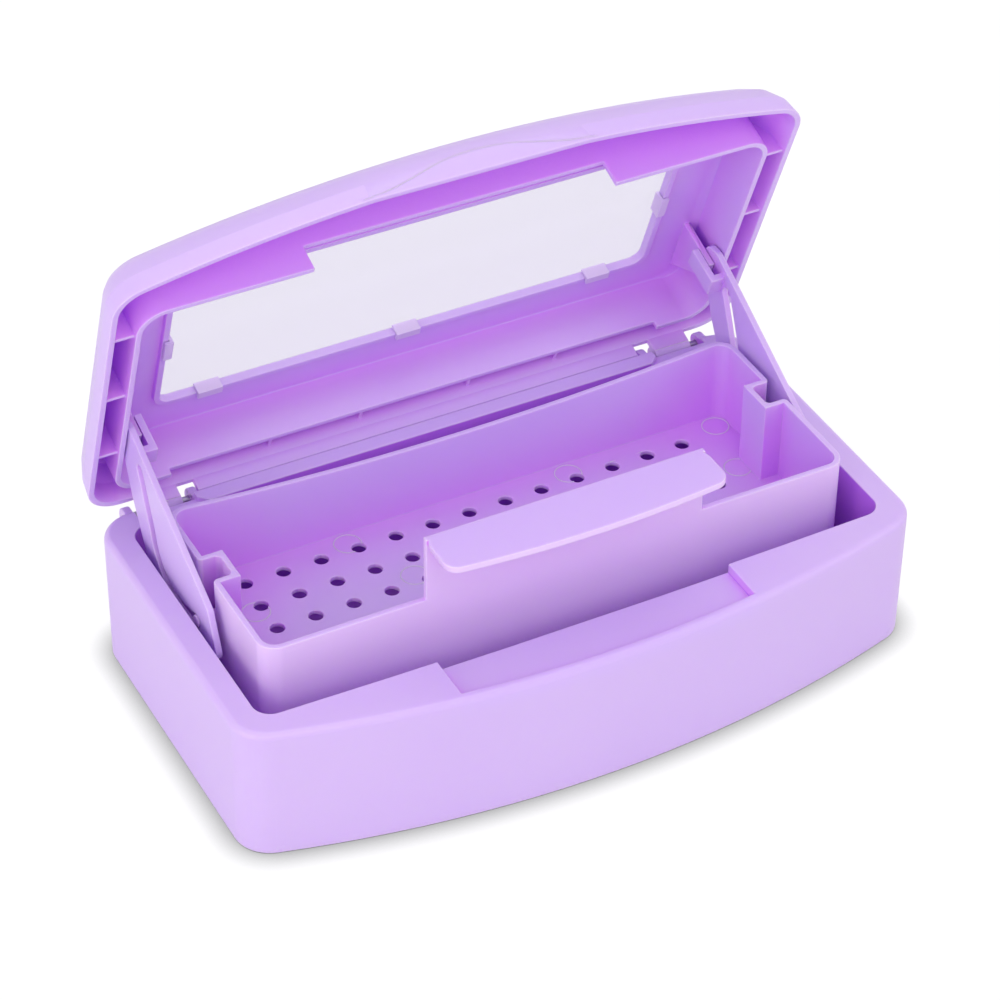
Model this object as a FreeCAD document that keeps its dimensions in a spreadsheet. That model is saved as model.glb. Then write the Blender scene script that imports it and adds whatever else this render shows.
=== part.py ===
import FreeCAD, Part
import Sketcher
import math
import os
from FreeCAD import Placement, Rotation, Vector

# Sterilizing box for small instruments: a tub with a double wall, a perforated tray that two
# slotted arms lift out of the liquid, and a domed lid with a clear window.
# Frame: +Z up, +X to the right, the hinge at the back (+Y). The origin lies on the plane
# that the box stands on. The box is drawn open, as far as its lid goes.

doc = FreeCAD.newDocument("instrument_sterilizer")

SIZES = [
    ("base_half_width", 110.0, "half the width of the tub"),
    ("base_back", 57.95, "rear face of the tub"),
    ("base_front", 48.8, "where side and front would meet"),
    ("base_bow", 16.5, "how far the bowed front stands out"),
    ("base_corner", 11.4, "corner radius of the tub"),
    ("base_height", 44.65, "height of the rim"),
    ("base_wall", 2.2, "wall of the outer skirt"),
    ("rim_plate", 2.4, "thickness of the rim"),
    ("rim_round", 2.2, "rounding of the rim's outer edge"),
    ("rim_side", 8.4, "width of the rim at the sides"),
    ("rim_back", 8.35, "width of the rim at the back"),
    ("rim_front", 5.8, "width of the rim at the ends of the front"),
    ("basin_bow", 1.5, "bow of the basin's front wall"),
    ("basin_corner", 5.7, "corner radius of the basin"),
    ("basin_wall", 2.0, "wall of the basin"),
    ("basin_floor", 1.7, "floor of the basin"),
    ("basin_bevel", 1.5, "bevel between basin floor and walls"),
    ("recess_half_width", 47.5, "half the width of the finger recess"),
    ("recess_depth", 3.2, "depth of the finger recess"),
    ("recess_margin", 3.2, "rim left in front of the recess"),
    ("hinge_behind", 1.41, "hinge axis behind the tub's rear face"),
    ("hinge_drop", 4.07, "hinge axis below the rim"),
    ("hinge_bar_height", 1.8, "height of the hinge bar above the rim"),
    ("hinge_bar_set", 2.75, "rear side of the hinge bar before the rear face"),
    ("hinge_bar_chamfer", 3.0, "slanted ends of the hinge bar"),
    ("ledge_drop", 4.35, "ledge behind the hinge bar, below the rim"),
    ("pocket_margin", 13.0, "tub outside the pocket for the lid's lug"),
    ("pocket_length", 18.5, "length of that pocket"),
    ("pocket_set", 3.95, "depth of that pocket from the rear face"),
    ("pocket_drop", 8.45, "depth of that pocket below the rim"),
    ("knuckle_radius", 3.4, "radius of the tub's hinge knuckles"),
    ("knuckle_width", 2.6, "width of one knuckle"),
    ("pin_radius", 1.25, "radius of a hinge pin"),
    ("pin_clearance", 0.15, "play round a pin"),
    ("lug_gap_inner", 2.7, "gap between the hinge bar's knuckle and the lug"),
    ("lug_gap_outer", 3.2, "gap between the lug and the outer knuckle"),
    ("lid_open_angle", 69.7, "angle of the lid when it is fully open"),
    ("lid_gap", 0.3, "gap between rim and closed lid"),
    ("lid_height", 19.9, "height of the lid's shell"),
    ("lid_wall", 2.0, "wall of the lid's skirt"),
    ("lid_plate", 2.6, "thickness of the lid's top"),
    ("lid_side_curve", 13.1, "how far the lid's sides curve in"),
    ("lid_back_curve", 9.0, "how far the lid's back curves in"),
    ("lid_front_curve", 21.3, "how far the lid's front curves in"),
    ("flap_play", 0.4, "play round the flap behind the hinge bar"),
    ("brow_half_width", 36.0, "half the width of the thumb flat at the lid's front"),
    ("brow_height", 6.0, "height of the thumb flat"),
    ("brow_wall", 1.8, "wall behind the thumb flat"),
    ("ring_step_side", 1.7, "inner wall inside the basin's side"),
    ("ring_step_back", 0.1, "inner wall before the basin's back"),
    ("ring_step_front", 6.8, "inner wall behind the basin's front"),
    ("ring_corner", 7.0, "corner radius of the inner wall"),
    ("ring_wall", 1.8, "thickness of the inner wall"),
    ("relief_margin", 4.5, "cut over the hinge bar, past the bar's end"),
    ("relief_depth", 2.2, "depth of that cut"),
    ("notch_gap", 3.3, "gap beside the tray's lip in its notch"),
    ("lip_clearance", 0.35, "gap above the tray's lip in its notch"),
    ("rib_thickness", 1.2, "thickness of the lid's ribs"),
    ("rib_inset", 1.0, "how far the ribs end above the lid's mouth"),
    ("rib_spacing", 29.1, "distance from one side rib to the next"),
    ("rib_middle", 0.9, "place of the middle side rib"),
    ("gusset_near", 18.5, "inner pair of ribs behind the inner wall"),
    ("gusset_far", 49.0, "outer pair of ribs behind the inner wall"),
    ("window_side", 28.0, "lid beside the window"),
    ("window_rear", 22.95, "lid behind the window"),
    ("window_fore", 26.8, "lid before the window, at the ends of the front"),
    ("window_corner", 4.0, "corner radius of the window"),
    ("frame_width", 2.0, "width of the raised frame round the window"),
    ("frame_height", 1.6, "height of that frame"),
    ("pane_margin", 4.5, "how far the pane reaches past the window"),
    ("pane_thickness", 1.3, "thickness of the clear pane"),
    ("pane_play", 0.15, "play between pane and lid"),
    ("hook_length", 8.0, "length of a pane hook"),
    ("hook_reach", 1.6, "how far a hook reaches under the frame"),
    ("hook_thickness", 1.0, "thickness of a pane hook"),
    ("hook_set", 16.2, "outer hooks of a long side from the window's end"),
    ("tray_gap_side", 6.54, "gap between tray and basin at the sides"),
    ("tray_gap_back", 11.71, "gap between tray and basin at the back"),
    ("tray_gap_front", 10.75, "gap between tray and basin at the front"),
    ("tray_height", 29.3, "height of the tray's rim over its underside"),
    ("tray_wall", 1.8, "wall of the tray"),
    ("tray_floor", 1.6, "floor of the tray"),
    ("tray_corner", 6.0, "corner radius of the tray"),
    ("tray_seat", 0.25, "gap between lowered tray and basin floor"),
    ("tray_lift", 26.05, "how far the opening lid lifts the tray"),
    ("tray_dip", 4.15, "dip of the rear wall's top edge"),
    ("channel_middle", 7.9, "middle of the channels in the tray's sides"),
    ("channel_width", 9.4, "width of such a channel"),
    ("channel_depth", 6.4, "depth of such a channel"),
    ("channel_round", 1.6, "corner radius in the channels"),
    ("hole_radius", 2.2, "radius of a drain hole"),
    ("hole_pitch_across", 12.42, "hole pitch along the tray"),
    ("hole_pitch_deep", 11.23, "hole pitch from row to row"),
    ("hole_row_back", 9.85, "rearmost row of holes before the tray's back"),
    ("hole_margin", 9.0, "floor kept free of holes beside the channels"),
    ("hole_margin_front", 11.0, "floor kept free of holes at the front"),
    ("tab_half_width", 45.0, "half the width of the tray's handle"),
    ("tab_height", 21.6, "height of the handle above the tray's rim"),
    ("lip_reach", 14.2, "how far the lip stands out at its ends"),
    ("lip_bow", 2.8, "bow of the lip's front edge"),
    ("lip_corner", 4.5, "corner radius of the lip"),
    ("lip_thickness", 2.2, "thickness of the lip"),
    ("peg_y", 6.0, "place of the tray's lifting pegs"),
    ("peg_height", 13.6, "pegs above the underside of the tray"),
    ("peg_radius", 1.9, "radius of a lifting peg"),
    ("pivot_ahead", 33.86, "arm pivot before the hinge, with the lid closed"),
    ("pivot_rise", 6.92, "arm pivot above the hinge, with the lid closed"),
    ("arm_gap", 2.3, "gap between arm and basin"),
    ("arm_thickness", 2.0, "thickness of an arm"),
    ("arm_turn_angle", 4.0, "how far an arm turns while the lid closes"),
    ("slot_clearance", 0.35, "play between peg and slot"),
    ("slot_head_ahead", 10.6, "upper end of the slot before the pivot"),
    ("slot_head_drop", 5.4, "upper end of the slot below the pivot"),
    ("slot_mid_ahead", 16.6, "middle of the slot's upper run before the pivot"),
    ("slot_mid_drop", 20.0, "middle of the slot's upper run below the pivot"),
    ("arm_crown", 5.8, "arm above the pivot"),
    ("arm_crown_ahead", 3.6, "front end of the arm's top"),
    ("arm_crown_behind", 3.0, "rear end of the arm's top"),
    ("arm_shoulder_behind", 3.4, "rear corner behind the pivot"),
    ("arm_shoulder_drop", 2.7, "rear corner below the pivot"),
    ("arm_knee_ahead", 2.6, "rear knee before the pivot"),
    ("arm_knee_drop", 19.0, "rear knee below the pivot"),
    ("arm_heel_behind", 35.0, "end of the lower edge behind the peg"),
    ("arm_heel_drop", 5.0, "end of the lower edge below the peg"),
    ("arm_sole_behind", 16.0, "lowest point behind the peg"),
    ("arm_sole_drop", 7.8, "lowest point below the peg"),
    ("arm_toe_ahead", 10.0, "front end of the lower edge before the peg"),
    ("arm_toe_drop", 6.6, "front end of the lower edge below the peg"),
    ("arm_nose_ahead", 14.5, "nose before the peg"),
    ("arm_nose_drop", 4.6, "nose below the peg"),
    ("arm_brow_ahead", 8.5, "upper front corner before the peg"),
    ("arm_brow_rise", 10.0, "upper front corner above the peg"),
    ("arm_round", 3.4, "rounding of the arm's corners"),
    ("pivot_pin_radius", 1.6, "radius of the arm's pivot pin"),
    ("fork_half_width", 3.2, "half the width of the fork's tongue"),
    ("fork_above", 4.5, "tongue past the pivot"),
    ("fork_below", 8.7, "tongue on the other side of the pivot"),
    ("fork_web", 2.4, "web between tongue and arm"),
    ("fork_tongue", 2.2, "thickness of the tongue"),
    ("fin_thickness", 1.9, "thickness of the lid's fin between tongue and arm"),
    ("fin_play", 0.3, "play on each side of the fin"),
    ("fin_margin", 2.9, "fin round the pivot"),
    ("fin_root", 22.0, "length of the fin's root on the lid"),
]

DOME_STEPS_OUTSIDE = 5
DOME_STEPS_INSIDE = 4
DRAIN_HOLE_SIDES = 8
SLOT_ARCS = 3
PEG_STEPS = 8
SAME = 1e-6
ALIGNED = 1e-4
NOUGHT = 1e-9

sheet = doc.addObject("Spreadsheet::Sheet", "sizes")
for row, (alias, value, meaning) in enumerate(SIZES, start=1):
    sheet.set(f"A{row}", meaning)
    sheet.set(f"B{row}", str(value))
    sheet.setAlias(f"B{row}", alias)
doc.recompute()


# Measures: an expression for the sheet together with its value

class Measure:
    def __init__(self, text, value):
        self.text = text
        self.value = value

    def __add__(self, other):
        other = measure(other)
        return Measure(f"({self.text} + {other.text})", self.value + other.value)

    def __sub__(self, other):
        other = measure(other)
        return Measure(f"({self.text} - {other.text})", self.value - other.value)

    def __mul__(self, other):
        other = measure(other)
        return Measure(f"({self.text} * {other.text})", self.value * other.value)

    def __truediv__(self, other):
        other = measure(other)
        return Measure(f"({self.text} / {other.text})", self.value / other.value)

    def __neg__(self):
        return Measure(f"(-1 * {self.text})", -self.value)


def measure(thing):
    if isinstance(thing, Measure):
        return thing
    return Measure(repr(float(thing)), float(thing))


def size(alias):
    return Measure(f"sizes.{alias}", float(sheet.get(alias)))


def sine(angle):
    return Measure(f"sin({angle.text} * 1deg)", math.sin(math.radians(angle.value)))


def cosine(angle):
    return Measure(f"cos({angle.text} * 1deg)", math.cos(math.radians(angle.value)))


def bind(thing, path, amount):
    thing.setExpression(path, measure(amount).text)


# Outlines and solids

def free_sketch(name, height):
    sketch = doc.addObject("Sketcher::SketchObject", name)
    bind(sketch, "Placement.Base.z", height)
    return sketch


def origin_plane(body, role):
    return next(feature for feature in body.Origin.OriginFeatures if feature.Role == role)


def body_sketch(body, name, role, offset):
    sketch = body.newObject("Sketcher::SketchObject", name)
    sketch.AttachmentSupport = [(origin_plane(body, role), "")]
    sketch.MapMode = "FlatFace"
    bind(sketch, "AttachmentOffset.Base.z", offset)
    return sketch


def dimension(sketch, kind, places, amount):
    index = sketch.addConstraint(Sketcher.Constraint(kind, *places, measure(amount).value))
    bind(sketch, f"Constraints[{index}]", amount)


def bowed_outline(sketch, half, back, front, bow, corner, bow_half=None):
    """Draw a rectangle with rounded corners whose front edge bows outwards.

    The bow is the rise of the front arc over bow_half, so that nested outlines keep
    one shape of arc.
    """
    half = measure(half)
    back = measure(back)
    front = measure(front)
    bow = measure(bow)
    corner = measure(corner)
    chord = measure(bow_half) if bow_half is not None else half
    radius = (chord * chord + bow * bow) / (bow * 2.0)
    centre = radius - front - bow
    w = half.value
    r = corner.value
    big = radius.value
    lift = centre.value
    b = back.value
    fillet_y = lift - math.sqrt((big - r) ** 2 - (w - r) ** 2)
    turn = math.atan2(lift - fillet_y, w - r)
    start = sketch.GeometryCount
    axis = Vector(0, 0, 1)
    left_touch = Vector(-(w - r) - r * math.cos(turn), fillet_y - r * math.sin(turn), 0)
    right_touch = Vector(w - r + r * math.cos(turn), fillet_y - r * math.sin(turn), 0)

    def arc(x, y, reach, first, last):
        return Part.ArcOfCircle(Part.Circle(Vector(x, y, 0), axis, reach), first, last)

    sketch.addGeometry([
        Part.LineSegment(Vector(-w, fillet_y, 0), Vector(-w, b - r, 0)),
        arc(-(w - r), b - r, r, math.pi / 2, math.pi),
        Part.LineSegment(Vector(-(w - r), b, 0), Vector(w - r, b, 0)),
        arc(w - r, b - r, r, 0, math.pi / 2),
        Part.LineSegment(Vector(w, b - r, 0), Vector(w, fillet_y, 0)),
        arc(w - r, fillet_y, r, -turn, 0),
        arc(0, lift, big, math.atan2(left_touch.y - lift, left_touch.x) + 2 * math.pi,
            math.atan2(right_touch.y - lift, right_touch.x) + 2 * math.pi),
        arc(-(w - r), fillet_y, r, math.pi, math.pi + turn),
    ], False)
    joints = [(0, 2, 1, 2), (1, 1, 2, 1), (2, 2, 3, 2), (3, 1, 4, 1),
              (4, 2, 5, 2), (5, 1, 6, 2), (6, 1, 7, 2), (7, 1, 0, 1)]
    for first, first_end, second, second_end in joints:
        sketch.addConstraint(Sketcher.Constraint(
            "Tangent", start + first, first_end, start + second, second_end))
    sketch.addConstraint(Sketcher.Constraint("Vertical", start))
    sketch.addConstraint(Sketcher.Constraint("Vertical", start + 4))
    sketch.addConstraint(Sketcher.Constraint("Horizontal", start + 2))
    for other in (3, 5, 7):
        sketch.addConstraint(Sketcher.Constraint("Equal", start + 1, start + other))
    sketch.addConstraint(Sketcher.Constraint("PointOnObject", start + 6, 3, -2))
    dimension(sketch, "Radius", (start + 1,), corner)
    dimension(sketch, "Radius", (start + 6,), radius)
    dimension(sketch, "DistanceX", (start, 1, -1, 1), half)
    dimension(sketch, "DistanceX", (-1, 1, start + 4, 1), half)
    dimension(sketch, "DistanceY", (-1, 1, start + 2, 1), back)
    dimension(sketch, "DistanceY", (-1, 1, start + 6, 3), centre)


def polygon(sketch, corners):
    """Draw a closed polygon whose corners are pairs of measures."""
    start = sketch.GeometryCount
    points = [Vector(measure(x).value, measure(y).value, 0) for x, y in corners]
    count = len(points)
    for index in range(count):
        sketch.addGeometry(Part.LineSegment(points[index], points[(index + 1) % count]), False)
    for index in range(count):
        following = start + (index + 1) % count
        sketch.addConstraint(Sketcher.Constraint("Coincident", start + index, 2, following, 1))
    for index, (x, y) in enumerate(corners):
        for kind, amount in (("DistanceX", measure(x)), ("DistanceY", measure(y))):
            if abs(amount.value) < NOUGHT:
                line = -2 if kind == "DistanceX" else -1
                sketch.addConstraint(
                    Sketcher.Constraint("PointOnObject", start + index, 1, line))
            elif amount.value > 0:
                dimension(sketch, kind, (-1, 1, start + index, 1), amount)
            else:
                dimension(sketch, kind, (start + index, 1, -1, 1), -amount)


def pad(body, name, sketch, length, downward=False):
    feature = body.newObject("PartDesign::Pad", name)
    feature.Profile = sketch
    bind(feature, "Length", length)
    feature.Reversed = downward
    sketch.Visibility = False
    return feature


def pocket(body, name, sketch, length, upward=False):
    feature = body.newObject("PartDesign::Pocket", name)
    feature.Profile = sketch
    bind(feature, "Length", length)
    feature.Reversed = upward
    sketch.Visibility = False
    return feature


def edge_names(feature, wanted):
    return [f"Edge{number}" for number, edge in enumerate(feature.Shape.Edges, start=1)
            if wanted(edge)]


def is_upright(edge):
    first, last = edge.Vertexes[0].Point, edge.Vertexes[-1].Point
    return math.hypot(first.x - last.x, first.y - last.y) < SAME and abs(first.z - last.z) > SAME


def lies_at(edge, height):
    box = edge.BoundBox
    return abs(box.ZMin - height) < SAME and abs(box.ZMax - height) < SAME


def fillet(body, name, base, wanted, radius):
    doc.recompute()
    feature = body.newObject("PartDesign::Fillet", name)
    feature.Base = (base, edge_names(base, wanted))
    bind(feature, "Radius", radius)
    return feature


def bevel(body, name, base, wanted, reach):
    doc.recompute()
    feature = body.newObject("PartDesign::Chamfer", name)
    feature.Base = (base, edge_names(base, wanted))
    bind(feature, "Size", reach)
    return feature


def block(body, kind, name, low, high):
    """Add or cut a box of a body between two corners given as measures."""
    feature = body.newObject(f"PartDesign::{kind}Box", name)
    low = [measure(amount) for amount in low]
    high = [measure(amount) for amount in high]
    for side, axis, start, end in zip(("Length", "Width", "Height"), "xyz", low, high):
        bind(feature, side, end - start)
        bind(feature, f"Placement.Base.{axis}", start)
    return feature


def rod(body, kind, name, x_low, x_high, y, z, radius):
    """Add or cut a cylinder of a body that lies along X."""
    feature = body.newObject(f"PartDesign::{kind}Cylinder", name)
    feature.Placement = Placement(Vector(), Rotation(Vector(0, 1, 0), 90))
    x_low = measure(x_low)
    bind(feature, "Height", measure(x_high) - x_low)
    bind(feature, "Radius", radius)
    bind(feature, "Placement.Base.x", x_low)
    bind(feature, "Placement.Base.y", y)
    bind(feature, "Placement.Base.z", z)
    return feature


def new_body(label):
    body = doc.addObject("PartDesign::Body", label)
    body.Label = label
    return body


def loose_box(name, low, high):
    solid = doc.addObject("Part::Box", name)
    low = [measure(amount) for amount in low]
    high = [measure(amount) for amount in high]
    for side, axis, start, end in zip(("Length", "Width", "Height"), "xyz", low, high):
        bind(solid, side, end - start)
        bind(solid, f"Placement.Base.{axis}", start)
    return solid


def loose_rod(name, x_low, x_high, y, z, radius):
    solid = doc.addObject("Part::Cylinder", name)
    solid.Placement = Placement(Vector(), Rotation(Vector(0, 1, 0), 90))
    x_low = measure(x_low)
    bind(solid, "Height", measure(x_high) - x_low)
    bind(solid, "Radius", radius)
    bind(solid, "Placement.Base.x", x_low)
    bind(solid, "Placement.Base.y", y)
    bind(solid, "Placement.Base.z", z)
    return solid


def extrude(name, sketch, length, direction=Vector(0, 0, 1)):
    solid = doc.addObject("Part::Extrusion", name)
    solid.Base = sketch
    solid.DirMode = "Custom"
    solid.Dir = direction
    bind(solid, "LengthFwd", length)
    solid.Solid = True
    return solid


def loft(name, sections):
    solid = doc.addObject("Part::Loft", name)
    solid.Sections = sections
    solid.Solid = True
    solid.Ruled = True
    return solid


def round_edges(name, base, wanted, radius):
    doc.recompute()
    solid = doc.addObject("Part::Fillet", name)
    solid.Base = base
    reach = measure(radius).value
    numbers = [number for number, edge in enumerate(base.Shape.Edges, start=1) if wanted(edge)]
    solid.Edges = [(number, reach, reach) for number in numbers]
    return solid


def fuse(name, solids):
    result = doc.addObject("Part::MultiFuse", name)
    result.Shapes = solids
    return result


def cut(name, base, tool):
    result = doc.addObject("Part::Cut", name)
    result.Base = base
    result.Tool = tool
    return result


def common(name, first, second):
    result = doc.addObject("Part::Common", name)
    result.Base = first
    result.Tool = second
    return result


# Levels and places that several pieces share

base_half = size("base_half_width")
rim_top = size("base_height")
basin_half = base_half - size("rim_side")
basin_back = size("base_back") - size("rim_back")
basin_front = size("base_front") - size("rim_front")
mouth = rim_top + size("lid_gap")
lid_top = mouth + size("lid_height")
lid_ceiling = lid_top - size("lid_plate")
ring_half = basin_half - size("ring_step_side")
ring_back = basin_back - size("ring_step_back")
ring_front = basin_front - size("ring_step_front")
window_half = base_half - size("window_side")
window_back = size("base_back") - size("window_rear")
window_front = size("base_front") - size("window_fore")
tray_half = basin_half - size("tray_gap_side")
tray_back = basin_back - size("tray_gap_back")
tray_front = basin_front - size("tray_gap_front")
tray_bottom = size("basin_floor") + size("tray_seat")
tray_rim = tray_bottom + size("tray_height")
lip_top = tray_rim + size("tab_height")
hinge_y = size("base_back") + size("hinge_behind")
hinge_z = rim_top - size("hinge_drop")
bar_back = size("base_back") - size("hinge_bar_set")
ledge_top = rim_top - size("ledge_drop")
pocket_outer = base_half - size("pocket_margin")
bar_half = pocket_outer - size("pocket_length")
ledge_half = bar_half - size("knuckle_width")
lug_inner = bar_half + size("lug_gap_inner")
lug_outer = pocket_outer - size("lug_gap_outer")
pivot_y = hinge_y - size("pivot_ahead")
pivot_z = hinge_z + size("pivot_rise")
arm_outer = basin_half - size("arm_gap")
arm_inner = arm_outer - size("arm_thickness")
slot_half = size("peg_radius") + size("slot_clearance")
fin_outer = arm_inner - size("fin_play")
fin_inner = fin_outer - size("fin_thickness")
tongue_outer = fin_inner - size("fin_play")
tongue_inner = tongue_outer - size("fork_tongue")
open_cos = cosine(size("lid_open_angle"))
open_sin = sine(size("lid_open_angle"))


def opened(y, z):
    """Carry a point from the closed lid to the open one."""
    away = measure(y) - hinge_y
    up = measure(z) - hinge_z
    return hinge_y + away * open_cos + up * open_sin, hinge_z - away * open_sin + up * open_cos


pivot_open_y, pivot_open_z = opened(pivot_y, pivot_z)


def open_with_lid(piece):
    """Turn a piece that is drawn on the closed lid to the open lid."""
    piece.Placement = Placement(Vector(), Rotation(Vector(1, 0, 0), -size("lid_open_angle").value))
    bind(piece, "Placement.Rotation.Angle", -size("lid_open_angle") * measure(1.0))
    base_y, base_z = opened(0.0, 0.0)
    bind(piece, "Placement.Base.y", base_y)
    bind(piece, "Placement.Base.z", base_z)


# Tub: outer skirt, rim, basin, finger recess and hinge knuckles in one moulding

def make_base_tub():
    body = new_body("base_tub")
    wall = size("base_wall")
    basin_wall = size("basin_wall")
    floor = size("basin_floor")

    outline = body_sketch(body, "base_outline", "XY_Plane", 0.0)
    bowed_outline(outline, base_half, size("base_back"), size("base_front"), size("base_bow"),
                  size("base_corner"))
    solid = pad(body, "base_block", outline, rim_top)
    solid = fillet(body, "rim_edge", solid, lambda edge: lies_at(edge, rim_top.value),
                   size("rim_round"))

    hollow = body_sketch(body, "hollow_outline", "XY_Plane", 0.0)
    bowed_outline(hollow, base_half - wall, size("base_back") - wall,
                  size("base_front") - wall, size("base_bow"), size("base_corner") - wall,
                  base_half)
    bowed_outline(hollow, basin_half + basin_wall, basin_back + basin_wall,
                  basin_front + basin_wall, size("basin_bow"),
                  size("basin_corner") + basin_wall, basin_half)
    pocket(body, "hollow_below", hollow, rim_top - size("rim_plate"), upward=True)

    pan = body_sketch(body, "recess_pan_outline", "XY_Plane", rim_top - size("rim_plate"))
    recess_outline(pan, wall)
    pad(body, "recess_pan", pan, size("recess_depth"), downward=True)
    recess = body_sketch(body, "recess_outline", "XY_Plane", rim_top)
    recess_outline(recess, measure(0.0))
    pocket(body, "finger_recess", recess, size("recess_depth"))

    basin = body_sketch(body, "basin_outline", "XY_Plane", rim_top)
    bowed_outline(basin, basin_half, basin_back, basin_front, size("basin_bow"),
                  size("basin_corner"))
    basin_cut = pocket(body, "basin", basin, rim_top - floor)
    bevel(body, "basin_floor_edge", basin_cut,
          lambda edge: lies_at(edge, floor.value), size("basin_bevel"))

    bar = body_sketch(body, "hinge_bar_outline", "XY_Plane", rim_top - size("rim_plate"))
    slant = size("hinge_bar_chamfer")
    polygon(bar, [(-bar_half, basin_back + slant), (-bar_half + slant, basin_back),
                  (bar_half - slant, basin_back), (bar_half, basin_back + slant),
                  (bar_half, bar_back), (-bar_half, bar_back)])
    pad(body, "hinge_bar", bar, size("rim_plate") + size("hinge_bar_height"))
    block(body, "Additive", "ledge_floor",
          (-ledge_half, basin_back + basin_wall, ledge_top - size("rim_plate")),
          (ledge_half, size("base_back") - wall / 2.0, rim_top - size("rim_plate")))
    block(body, "Subtractive", "ledge",
          (-ledge_half, bar_back, ledge_top), (ledge_half, hinge_y, rim_top + wall))
    for side in (-1, 1):
        hinge_pocket(body, side)
    return body


def recess_outline(sketch, extra):
    """Draw the finger recess: three straight sides and a front that follows the rim."""
    half = size("recess_half_width") + extra
    bow = size("base_bow")
    rim_radius = (base_half * base_half + bow * bow) / (bow * 2.0)
    centre = rim_radius - size("base_front") - bow
    radius = rim_radius - size("recess_margin") + extra
    back = -basin_front + size("basin_wall") / 2.0
    reach = half.value
    low = centre.value - math.sqrt(radius.value ** 2 - reach ** 2)
    left = Vector(-reach, low, 0)
    right = Vector(reach, low, 0)
    high = back.value
    start_angle = math.atan2(low - centre.value, -reach) + 2 * math.pi
    end_angle = math.atan2(low - centre.value, reach) + 2 * math.pi
    circle = Part.Circle(Vector(0, centre.value, 0), Vector(0, 0, 1), radius.value)
    sketch.addGeometry([
        Part.LineSegment(left, Vector(-reach, high, 0)),
        Part.LineSegment(Vector(-reach, high, 0), Vector(reach, high, 0)),
        Part.LineSegment(Vector(reach, high, 0), right),
        Part.ArcOfCircle(circle, start_angle, end_angle),
    ], False)
    for places in ((0, 2, 1, 1), (1, 2, 2, 1), (2, 2, 3, 2), (3, 1, 0, 1)):
        sketch.addConstraint(Sketcher.Constraint("Coincident", *places))
    sketch.addConstraint(Sketcher.Constraint("Vertical", 0))
    sketch.addConstraint(Sketcher.Constraint("Horizontal", 1))
    sketch.addConstraint(Sketcher.Constraint("Vertical", 2))
    sketch.addConstraint(Sketcher.Constraint("PointOnObject", 3, 3, -2))
    dimension(sketch, "Radius", (3,), radius)
    dimension(sketch, "DistanceX", (0, 1, -1, 1), half)
    dimension(sketch, "DistanceX", (-1, 1, 2, 1), half)
    dimension(sketch, "DistanceY", (1, 1, -1, 1), -back)
    dimension(sketch, "DistanceY", (-1, 1, 3, 3), centre)


def span(side, inner, outer):
    """Give the low and high x of something that lies between inner and outer on one side."""
    if side > 0:
        return measure(inner), measure(outer)
    return -measure(outer), -measure(inner)


def hinge_pocket(body, side):
    """Cut the pocket of the lid's lug and add a knuckle at each of its ends."""
    tag = side_name(side)
    width = size("knuckle_width")
    radius = size("knuckle_radius")
    past = size("base_wall")
    low, high = span(side, bar_half, pocket_outer)
    block(body, "Subtractive", f"lug_pocket_{tag}",
          (low, size("base_back") - size("pocket_set"), rim_top - size("pocket_drop")),
          (high, size("base_back") + past, rim_top + past))
    for place, start, end in (("inner", ledge_half, bar_half),
                              ("outer", pocket_outer, pocket_outer + width)):
        low, high = span(side, start, end)
        block(body, "Additive", f"knuckle_{place}_web_{tag}",
              (low, size("base_back") - size("base_wall"), hinge_z - radius),
              (high, hinge_y, hinge_z + radius))
        rod(body, "Additive", f"knuckle_{place}_{tag}", low, high, hinge_y, hinge_z, radius)
    low, high = span(side, ledge_half, pocket_outer + width)
    rod(body, "Subtractive", f"pin_bore_{tag}", low, high, hinge_y, hinge_z,
        size("pin_radius"))


def side_name(side):
    return "right" if side > 0 else "left"


# Hinge pins, one at each end of the hinge bar

def make_hinge_pin(side):
    body = new_body(f"hinge_pin_{side_name(side)}")
    low, high = span(side, ledge_half, pocket_outer + size("knuckle_width"))
    rod(body, "Additive", f"pin_{side_name(side)}", low, high, hinge_y, hinge_z,
        size("pin_radius"))
    return body


# Tray: perforated floor, side channels for the arms' pegs, handle with a lip

def tray_outline(sketch, inset):
    """Draw the tray's plan with a channel in each side, moved inwards by the inset."""
    half = tray_half - inset
    back = tray_back - inset
    front = -tray_front + inset
    near = size("channel_middle") - size("channel_width") / 2.0 - inset
    far = size("channel_middle") + size("channel_width") / 2.0 + inset
    deep = tray_half - size("channel_depth") - inset
    polygon(sketch, [
        (-half, front), (half, front), (half, near), (deep, near), (deep, far), (half, far),
        (half, back), (-half, back), (-half, far), (-deep, far), (-deep, near), (-half, near)])


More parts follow.
